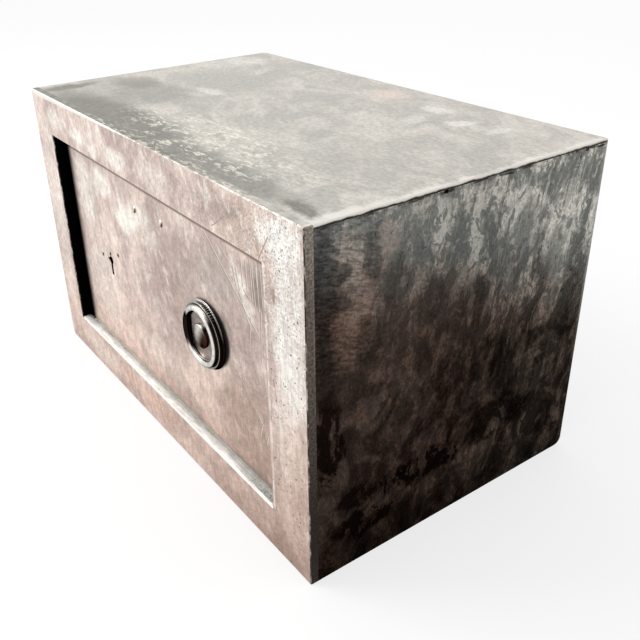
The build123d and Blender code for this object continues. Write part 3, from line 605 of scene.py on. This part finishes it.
def leaf_steel():
    """The door: clouds, scratches, painted shadow by its left edge and the knob, painted shade along the
    frame and in its holes, and a pale painted reflection at its foot.
    """
    g = Graph("door_steel")
    colour, height, rough = brushed_front(g, LEAF_MARKS)
    colour = scratched(g, colour, LEAF_SCRATCHES, 0.85, burr=0.6)
    colour = g.shade(colour, g.rise(g.x, -70.0, 20.0, 1.0, 0.93))
    g.warped = g.place
    # Painted shadow of the knob on the door, to its right
    shadow = g.spot((knob_x + 4.6, 0, knob_z + 3.2), (28.0, None, 25.6), 0.12)
    colour = g.mix(g.times(shadow, 0.96), colour, KNOB_SHADE)
    # Painted shade in the small holes
    for x, z in PIN_HOLES:
        colour = g.mix(g.spot((x, 0, z), (2.2, None, 2.2), 0.4), colour, PIN_HOLE)
    # Painted shade just under the top rail
    colour = g.mix(g.rise(g.z, opening_head - 8.6, opening_head - 6.6), colour, HEAD_SHADE)
    # Painted shade towards the leaf's foot
    colour = g.mix(g.times(g.rise(g.z, opening_foot + 10, opening_foot + 2), 0.45), colour, LEAF_FOOT_SHADE)
    # A pale painted reflection of the ledge on the leaf's lowest edge, where the gap would show dark
    colour = g.mix(g.rise(g.z, opening_foot + 2.6, opening_foot + 1.8), colour, WORN_AND_HIGHLIGHT)
    # Darker beside the right stile: dirt and painted shade in the recess
    beside_stile = g.rise(g.x, opening_right - 8, opening_right - 1.5)
    colour = g.mix(g.times(beside_stile, 0.7), colour, RECESS_GRIME_AND_SHADE)
    # Painted shadow of the reveal along the leaf's left edge
    colour = g.mix(g.rise(g.x, opening_left + 23, opening_left + 9.5), colour, PAINTED_SHADE_BLACK)
    # Painted shade on the keyhole's walls
    keyhole = g.times(g.band(g.x, *KEYHOLE_SIDES, 1.0), g.rise(g.ny, -0.7, -0.3))
    colour = g.mix(keyhole, colour, PAINTED_SHADE_BLACK)
    inner = g.mix(g.rise(height, 0.4, 0.8), LEAF_INSIDE, LEAF_INSIDE_DARK)
    colour = g.mix(g.rise(g.ny, 0.5, 0.9), colour, inner)
    glance = g.rise(g.x, opening_left + 10, opening_left + 17)
    return g.surface(colour, rough, g.bump(height, 0.2), glance)


def crown_steel():
    """The top plate: grey with worn flecks, dark along the front, worn pale on the right edge."""
    g = Graph("crown_steel")
    g.warp(20.0, 9.0)
    cloud = g.noise((38, 26, 38), detail=4, rough=0.62, twist=0.7, turn=(0, 0, 20))
    colour = g.mix(g.rise(cloud, 0.36, 0.64), GREY, BEIGE)
    colour = marked(g, colour, TOP_MARKS, 2)
    fleck = g.noise((9.0, 3.4, 9.0), detail=5, rough=0.68, twist=0.8)
    clusters = g.rise(g.noise(15, detail=2), 0.36, 0.52)
    flecked = g.times(g.spot((40, -80, 0), (150, 48, None), 0.6), clusters)
    colour = g.mix(g.times(g.rise(fleck, 0.50, 0.57), flecked, 0.85), colour, FLECK)
    fine = g.noise((3.2, 2.2, 3.2), detail=4, rough=0.7)
    colour = g.shade(colour, g.rise(fine, 0.28, 0.72, 0.84, 1.14))
    worn_in = g.sum(g.x, g.times(cloud, 16.0), g.times(fine, 5.0), g.rise(g.y, -30.0, -110.0, 0.0, 5.0))
    rubbed_and_lit = g.rise(worn_in, right_face + 5, right_face + 11)
    colour = g.mix(g.times(rubbed_and_lit, 0.65), colour, WORN_AND_HIGHLIGHT)
    lip = g.sum(g.z, g.times(g.noise((10, 10, 10), detail=3), 2.4), -1.2)
    seam = g.mix(g.rise(lip, crown_face - 1.8, crown_face - 0.8), CROWN_SEAM, BEIGE)
    colour = g.mix(g.rise(g.nx, 0.5, 0.9), colour, seam)
    return g.surface(colour, g.rise(cloud, 0.35, 0.65, 0.4, 0.52), g.bump(g.sum(fine, cloud), 0.25))


def scale_islands(g, marks, streak, patch, speckle):
    """Dark scale over paler streaks, torn into islands. The marked side also has its own shapes."""
    pale = g.mix(g.rise(g.y, -100.0, 60.0), DULL_STREAK, STREAK)
    pale = g.mix(g.rise(g.z, 190.0, 100.0, 0.0, 0.4), pale, BLUE)
    pale = g.shade(pale, g.rise(speckle, 0.35, 0.62, 0.55, 1.15))
    colour = g.mix(g.rise(streak, 0.42, 0.55), BLUE, pale)
    colour = g.mix(g.rise(patch, 0.50, 0.54, 0.0, 0.72), colour, BLUE)
    colour = marked(g, colour, marks, 0)
    torn = g.noise((9, 9, 14), detail=5, rough=0.66, twist=1.3, turn=(9, 0, 0), shift=(2, 9, 4))
    torn_share = g.rise(g.z, 90.0, 170.0, 0.3, 0.8)
    colour = g.mix(g.rise(torn, 0.53, 0.55, 0.0, torn_share), colour, BLUE)
    colour = g.mix(g.rise(torn, 0.45, 0.40, 0.0, 0.45), colour, pale)
    if marks:
        g.warp(11.0, 10.0)
        colour = marked(g, colour, SIDE_SHAPES, 0, 0.4)
        cross = g.noise((6, 6, 1.6), detail=3, rough=0.6, turn=(18, 0, 0), shift=(0, 4, 7))
        front = g.times(g.rise(g.y, -50.0, -90.0), g.rise(g.z, 130.0, 160.0))
        colour = g.mix(front, colour, g.shade(colour, g.rise(cross, 0.35, 0.65, 0.66, 1.35)))
    return colour


def shaded_towards_foot(g, colour, streak, patch):
    """The side's colour with painted shade: grey at the top through brown to near black at the foot, and
    lighter towards the back.
    """
    # Painted shade, falling from the top to the foot along a level that wanders with the patches and
    # streaks
    level = g.sum(g.z, g.times(g.y, 0.3), g.times(patch, 50.0), g.times(streak, 30.0), -40.0)
    fall = g.sum(g.rise(level, 125.0, 240.0, 0.0, 0.85), g.rise(level, 30.0, 165.0, 0.25, 0.29))
    colour = g.shade(colour, fall)
    # Painted light: lighter towards the back
    colour = g.shade(colour, g.rise(g.y, 20.0, 100.0, 1.0, 1.32))
    brown = g.shade(colour, g.mix(g.rise(g.y, -20.0, 90.0), BROWN_CAST, REAR_CAST))
    colour = g.mix(g.rise(level, 205.0, 140.0), colour, brown)
    cloud = g.noise((26, 26, 32), detail=5, rough=0.6, twist=1.1, turn=(14, 0, 0), shift=(8, 1, 6))
    clouded = g.shade(colour, g.rise(cloud, 0.40, 0.60, 0.62, 1.45))
    colour = g.mix(g.rise(g.z, 170.0, 110.0), colour, clouded)
    # Darker still at the very foot: painted shade
    colour = g.shade(colour, g.rise(g.sum(g.z, g.times(cloud, -30.0)), -8.0, 40.0, 0.55, 1.1))
    # Painted shade towards the back: darker, most at the waist, and lighter at the foot
    behind = g.rise(g.y, -70.0, -10.0)
    waist = g.times(behind, g.band(g.z, 70.0, 115.0, 22.0), -0.22)
    foot = g.times(behind, g.rise(g.z, 60.0, 30.0), 0.3)
    return g.shade(colour, g.sum(1.0, g.times(behind, -0.14), waist, foot))


def outer_skin(g, deep=2.1, shallow=1.4):
    """1 on the shell's outer faces, and 0 this deep in the sheet and on its inner faces."""
    middle = crown_face / 2
    across = g.rise(g.math("ABSOLUTE", g.x), right_face - deep, right_face - shallow)
    behind = g.rise(g.y, back_face - deep, back_face - shallow)
    upright = g.math("ABSOLUTE", g.sum(g.z, -middle))
    upright = g.rise(upright, middle - deep, middle - shallow)
    return g.math("MAXIMUM", g.math("MAXIMUM", across, behind), upright)


def stained(g, colour, stains, torn):
    """The side's colour with these soot stains, whose outlines are torn."""
    ragged = g.rise(torn, 0.66, 0.76)
    for centre, radii, share in stains:
        stain = g.spot((0, *centre), (None, *radii), 0.3)
        colour = g.mix(g.times(stain, ragged, share), colour, SOOT)
    return colour


def dark_seam_line(g, colour):
    """The side's colour with a broken dark line under the top plate."""
    wander = g.sum(g.z, g.times(g.noise((12, 12, 12), detail=3), 4.0))
    seam = g.band(wander, crown_face - 1.6, crown_face - 0.6, 0.6)
    return g.mix(g.times(seam, g.rise(g.noise((15, 15, 15)), 0.44, 0.58), 0.75), colour, SOOT)


def side_steel(name, marks=(), stains=()):
    """Dark scale that ran in upright streaks, with painted shade from brown to black towards the foot."""
    g = Graph(name)
    g.warp(16.0, 8.0)
    streak = g.noise((13, 13, 34), detail=3, rough=0.6, twist=0.7, turn=(9, 0, 0))
    patch = g.noise((20, 20, 26), detail=5, rough=0.6, twist=1.0, shift=(5, 3, 1))
    fine = g.noise((1.6, 1.6, 2.2), detail=3, rough=0.7)
    speckle = g.noise((4.0, 4.0, 5.5), detail=4, rough=0.7, twist=0.5, shift=(1, 8, 2))
    colour = scale_islands(g, marks, streak, patch, speckle)
    colour = shaded_towards_foot(g, colour, streak, patch)
    colour = g.mix(g.rise(speckle, 0.60, 0.66, 0.0, 0.5), colour, SOOT)
    colour = stained(g, colour, stains, g.sum(patch, g.times(speckle, 0.5)))
    colour = g.shade(colour, g.rise(fine, 0.28, 0.72, 0.78, 1.22))
    if marks:
        colour = dark_seam_line(g, colour)
    near_rear = g.rise(g.sum(g.y, g.times(fine, 2.5)), back_face - 2, back_face + 0.2)
    colour = g.mix(g.times(near_rear, g.rise(g.z, 60.0, 160.0), 0.6), colour, REAR_EDGE)
    outside = outer_skin(g)
    inside = g.shade(SHEET_INSIDE, g.rise(patch, 0.35, 0.65, 0.88, 1.06))
    colour = g.mix(outside, inside, colour)
    rough = g.rise(patch, 0.35, 0.65, 0.34, 0.5)
    glance = g.math("SUBTRACT", 1.0, outside)
    return g.surface(colour, rough, g.bump(g.sum(fine, streak), 0.3), glance)


def plain_steel(name, colour, dark, rough, size=6.0, front=None):
    """Mottled metal with faint tool lines. front colours what faces the gap round the leaf, as painted
    shade.
    """
    g = Graph(name)
    mottle = g.noise(size, detail=5, rough=0.68, twist=0.4)
    shown = g.mix(g.rise(mottle, 0.32, 0.74), colour, dark)
    if front:
        shown = g.mix(g.rise(g.y, bar_back + 10, bar_back + 2), shown, front)
    lines = g.noise((14, 0.5, 0.5), detail=2)
    shown = g.shade(shown, g.rise(lines, 0.3, 0.7, 0.88, 1.08))
    shown = g.shade(shown, g.rise(g.noise(1.4, detail=2), 0.3, 0.7, 0.92, 1.06))
    return g.surface(shown, g.rise(mottle, 0.3, 0.7, rough - 0.08, rough + 0.1), g.bump(mottle, 0.1))


def lean(g):
    """How far a face leans to the right and down."""
    return g.sum(g.nx, g.times(g.nz, -0.35))


def lit_and_shaded_by_lean(g, leaning, rubbed_and_lit, flat, dark, dark_from, dark_to):
    """Painted light: the lit colour, with flat on what faces the front, and the dark colour as painted
    shade where it leans away.
    """
    colour = g.mix(g.rise(g.ny, -0.75, -0.97), rubbed_and_lit, flat)
    return g.mix(g.rise(leaning, dark_from, dark_to), colour, dark)


def polished(g, colour):
    mottle = g.noise(3.0, detail=4, rough=0.6)
    colour = g.shade(colour, g.rise(mottle, 0.3, 0.7, 0.8, 1.12))
    return g.surface(colour, 0.26, g.bump(mottle, 0.05), glance=0.3)


def small_turning(name, rubbed_and_lit, flat, dark, dark_from, dark_to):
    """Polished metal with a painted highlight on the left and above, and painted shade on the right and
    below.
    """
    g = Graph(name)
    return polished(g, lit_and_shaded_by_lean(g, lean(g), rubbed_and_lit, flat, dark, dark_from, dark_to))


def knob_steel():
    """The knob: a dull web in a rim with a painted highlight, painted shade where it leans right and down
    and on the rim's left wall, and painted highlight lines behind the rim.
    """
    g = Graph("knob_steel")
    past_web = g.rise(g.spot((knob_x, 0, knob_z), (18.0, None, 18.0), 0.1), 0.6, 0.4)
    past_rim = g.rise(g.spot((knob_x, 0, knob_z), (22.5, None, 22.5), 0.05), 0.6, 0.4)
    left = g.times(g.rise(g.x, knob_x - 12, knob_x - 16), g.band(g.z, knob_z - 7.2, knob_z + 12.8, 14.0))
    left_wall = g.times(left, g.rise(g.nx, -0.25, 0.05))
    # Painted shade: the band behind the rim and the rim's inner wall on the left count as leaning further
    # away
    behind_rim = g.times(g.band(g.y, knob_back - 3.75, knob_back - 0.6, 0.1), past_web)
    leaning = g.sum(lean(g), g.times(behind_rim, 0.45), g.times(left_wall, 0.6))
    colour = lit_and_shaded_by_lean(g, leaning, WORN_AND_HIGHLIGHT, WEB, KNOB_SHADE_DARK, -0.02, 0.45)
    # A painted highlight round the rim's front, but not on its left wall
    rim = g.times(g.rise(g.y, knob_back - 5.8, knob_back - 6.5), past_web)
    rim = g.times(rim, g.sum(1.0, g.times(left_wall, -1.0)), 0.9)
    colour = g.mix(rim, colour, WORN_AND_HIGHLIGHT)
    # Painted highlights on the upper part of the flange and on the bead
    flange = g.times(g.band(g.y, knob_back - 0.62, knob_back - 0.50, 0.05), past_rim)
    upper = g.rise(g.z, knob_z + 2.8, knob_z + 20.8, 0.0, 0.6)
    colour = g.mix(g.times(flange, upper), colour, WORN_AND_HIGHLIGHT)
    bead = g.times(g.band(g.y, knob_back - 3.8, knob_back - 3.6, 0.1), past_rim)
    colour = g.mix(g.times(bead, 0.4), colour, WORN_AND_HIGHLIGHT)
    return polished(g, colour)


# Materials of the slots, and those of single nodes
materials = {
    "frame_steel": frame_steel(),
    "door_steel": leaf_steel(),
    "shell_steel": side_steel("shell_steel"),
    "inner_steel": plain_steel("inner_steel", JAMB, JAMB_DARK, 0.5, 18.0),
    "polished_steel": knob_steel(),
    "working_steel": plain_steel("working_steel", (0.56, 0.55, 0.52), (0.37, 0.355, 0.33), 0.34),
    "case_steel": plain_steel("case_steel", (0.25, 0.24, 0.23), (0.155, 0.145, 0.135), 0.42, 9.0),
    "screw_steel": plain_steel("screw_steel", (0.16, 0.17, 0.20), (0.07, 0.07, 0.08), 0.35, 3.0),
    "brass": plain_steel("brass", (0.80, 0.72, 0.48), (0.52, 0.43, 0.24), 0.3, 3.0),
}
# The cap nut and the rivets: highlight, flat and shade colours, painted by how the faces lean
cap_steel = small_turning(
    "cap_steel", (0.86, 0.86, 0.82), (0.60, 0.57, 0.53), (0.045, 0.022, 0.016), -0.10, 0.30
)
rivet_brass = small_turning(
    "rivet_brass", (0.96, 0.92, 0.76), (0.90, 0.84, 0.62), (0.10, 0.08, 0.035), 0.15, 0.6
)
own_material = {
    "top_plate": crown_steel(),
    "right_side_plate": side_steel("right_side_steel", SIDE_MARKS, SIDE_STAINS),
    # The sill is pale so that the gap under the leaf shows light instead of its shade: painted light
    "sill_jamb": plain_steel("sill_steel", (0.74, 0.73, 0.71), (0.52, 0.51, 0.49), 0.7, 9.0),
    # The hinge jamb is black where it faces the gap round the leaf: painted shade
    "hinge_jamb": plain_steel("hinge_side_steel", JAMB, JAMB_DARK, 0.5, 18.0, front=PAINTED_SHADE_BLACK),
    "knob_cap_nut": cap_steel,
    "plate_rivets": rivet_brass,
}
slot_of = {row["node"]: row["material_slot"] for row in frame["record"]["subparts"]}
for name, part in nodes.items():
    part.data.materials.clear()
    part.data.materials.append(own_material.get(name, materials[slot_of[name]]))


# The knob, finer than its solid


def turned_mesh(name, centre, profile, segments=432, ribs=72):
    """A turning round a centre at its back. The profile is (radius, depth, rib depth) in mm, and
    a point's depth is how far it lies in front of the back."""
    mesh = bmesh.new()
    rings = []
    for radius, depth, cut in profile:
        ring = []
        for index in range(segments):
            angle = 2 * math.pi * index / segments
            reach = radius - cut * (0.5 + 0.5 * math.cos(ribs * angle))
            x = centre.x + reach * math.cos(angle)
            z = centre.z + reach * math.sin(angle)
            ring.append(mesh.verts.new(Vector((x, centre.y - depth, z)) / 1000.0))
        rings.append(ring)
    for back, front in zip(rings, rings[1:]):
        for index in range(segments):
            following = (index + 1) % segments
            mesh.faces.new((back[index], back[following], front[following], front[index]))
    mesh.faces.new(rings[0])
    mesh.faces.new(rings[-1])
    bmesh.ops.recalc_face_normals(mesh, faces=mesh.faces)
    data = bpy.data.meshes.new(name)
    mesh.to_mesh(data)
    mesh.free()
    for polygon in data.polygons:
        polygon.use_smooth = len(polygon.vertices) == 4
    return data


def turned(name, node, profile, material):
    """A turning that stands for a node and has its middle and back."""
    low, high = box_mm(node)
    centre = Vector(((low.x + high.x) / 2, high.y, (low.z + high.z) / 2))
    piece = bpy.data.objects.new(name, turned_mesh(name, centre, profile))
    bpy.context.scene.collection.objects.link(piece)
    piece.data.materials.append(material)
    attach(piece, "knob_work")
    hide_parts(node)


def arc(centre, radius, start, end, steps):
    """Profile points on a circle. Angles are in degrees, 0 outwards and 90 towards the front."""
    points = []
    for step in range(steps + 1):
        angle = math.radians(start + (end - start) * step / steps)
        points.append((centre[0] + radius * math.cos(angle), centre[1] + radius * math.sin(angle), 0.0))
    return points


def knob():
    """A base flange, a knurled band, a bead, a round rim and a web that is dished slightly."""
    flange = arc((25.3, 0.3), 0.3, -90, 90, 6)
    band = [(24.1, 0.65, 0.2), (24.4, 0.85, 0.6), (24.4, 3.0, 0.6), (24.1, 3.18, 0.2)]
    bead = [(23.6, 3.25, 0.0), *arc((23.8, 3.5), 0.3, -60, 90, 8)]
    groove = [(22.9, 3.7, 0.0), (22.3, 3.4, 0.0)]
    rim = arc((20.2, 4.6), 2.4, -30, 203, 40)
    web = [(17.6, 3.5, 0.0), (16.5, 3.35, 0.0), (12.0, 3.3, 0.0), (9.0, 3.4, 0.0), (7.9, 3.6, 0.0)]
    profile = [*flange, *band, *bead, *groove, *rim, *web]
    turned("knob_turning", "knob", profile, materials["polished_steel"])


def knob_dome(radius=9.0, collar=1.3, height=3.5, shoulder=1.0, sunk=0.05):
    """The cap nut: a low collar with a rounded shoulder, and a dome on it."""
    rise = height - collar
    sphere = (radius**2 + rise**2) / (2 * rise)
    start = math.degrees(math.acos((radius - shoulder) / sphere))
    edge = arc((radius - shoulder, collar - 0.45 * shoulder), shoulder, 0.0, 62.0, 8)
    crown = arc((0.0, height - sphere), sphere, start, 88.0, 24)
    turned("knob_dome", "knob_cap_nut", [(radius, -sunk, 0.0), *edge, *crown], cap_steel)


knob()
knob_dome()


# Floor, light and camera


def share_of_rays(tree):
    """1 for rays from the camera, and for those that metal and glass send on."""
    path = tree.nodes.new("ShaderNodeLightPath")
    total = path.outputs["Is Camera Ray"]
    for name in ("Is Glossy Ray", "Is Transmission Ray"):
        either = tree.nodes.new("ShaderNodeMath")
        either.operation = "MAXIMUM"
        tree.links.new(total, either.inputs[0])
        tree.links.new(path.outputs[name], either.inputs[1])
        total = either.outputs[0]
    return total


def floor_white(colour=0.93, white_share=0.66):
    """Pale, so that it keeps the shadow, and glowing just enough to pass for white."""
    material = bpy.data.materials.new("floor")
    material.use_nodes = True
    tree = material.node_tree
    tree.nodes.clear()
    plain = tree.nodes.new("ShaderNodeBsdfDiffuse")
    plain.inputs["Color"].default_value = (colour, colour, colour, 1.0)
    white = tree.nodes.new("ShaderNodeEmission")
    share = tree.nodes.new("ShaderNodeMath")
    share.operation = "MULTIPLY"
    share.inputs[1].default_value = white_share
    tree.links.new(share_of_rays(tree), share.inputs[0])
    both = tree.nodes.new("ShaderNodeMixShader")
    tree.links.new(share.outputs[0], both.inputs[0])
    tree.links.new(plain.outputs[0], both.inputs[1])
    tree.links.new(white.outputs[0], both.inputs[2])
    output = tree.nodes.new("ShaderNodeOutputMaterial")
    tree.links.new(both.outputs[0], output.inputs[0])
    return material


def floor(size=12.0):
    mesh = bpy.data.meshes.new("floor")
    half = size / 2
    low = cad_box[0].z
    corners = [(-half, -half, low), (half, -half, low), (half, half, low), (-half, half, low)]
    mesh.from_pydata(corners, [], [(0, 1, 2, 3)])
    ground = bpy.data.objects.new("floor", mesh)
    bpy.context.scene.collection.objects.link(ground)
    mesh.materials.append(floor_white())


def world(strength=0.95):
    """An even studio light, which the camera and the metal see as plain white."""
    surroundings = bpy.data.worlds.new("studio")
    bpy.context.scene.world = surroundings
    surroundings.use_nodes = True
    tree = surroundings.node_tree
    tree.nodes.clear()
    lit = tree.nodes.new("ShaderNodeBackground")
    lit.inputs["Strength"].default_value = strength
    white = tree.nodes.new("ShaderNodeBackground")
    for background in (lit, white):
        background.inputs["Color"].default_value = (1.0, 1.0, 1.0, 1.0)
    both = tree.nodes.new("ShaderNodeMixShader")
    tree.links.new(share_of_rays(tree), both.inputs[0])
    tree.links.new(lit.outputs[0], both.inputs[1])
    tree.links.new(white.outputs[0], both.inputs[2])
    output = tree.nodes.new("ShaderNodeOutputWorld")
    tree.links.new(both.outputs[0], output.inputs[0])


def lamp(name, place, aim, size, watts):
    """A square lamp at this place, turned to its aim."""
    light = bpy.data.lights.new(name, "AREA")
    light.size = size
    light.energy = watts
    holder = bpy.data.objects.new(name, light)
    holder.location = place
    holder.rotation_mode = "QUATERNION"
    holder.rotation_quaternion = (Vector(aim) - Vector(place)).to_track_quat("-Z", "Y")
    bpy.context.scene.collection.objects.link(holder)


def camera():
    """The camera that took the photograph."""
    data = bpy.data.cameras.new("camera")
    data.sensor_width = sensor
    data.lens = sensor * focal_pixels / picture_size
    data.shift_x = 0.5 - principal_point[0] / picture_size
    data.shift_y = principal_point[1] / picture_size - 0.5
    data.clip_start = 0.01
    holder = bpy.data.objects.new("camera", data)
    up = camera_right.cross(camera_forward)
    turn = Matrix((camera_right, up, -camera_forward)).transposed()
    holder.matrix_world = Matrix.Translation(camera_place) @ turn.to_4x4()
    bpy.context.scene.collection.objects.link(holder)
    bpy.context.scene.camera = holder


floor()
world()
lamp("key", place=(-0.9, -1.0, 1.3), aim=(0, 0, 0.1), size=0.9, watts=14.0)
camera()
bpy.context.scene.view_settings.view_transform = "Standard"
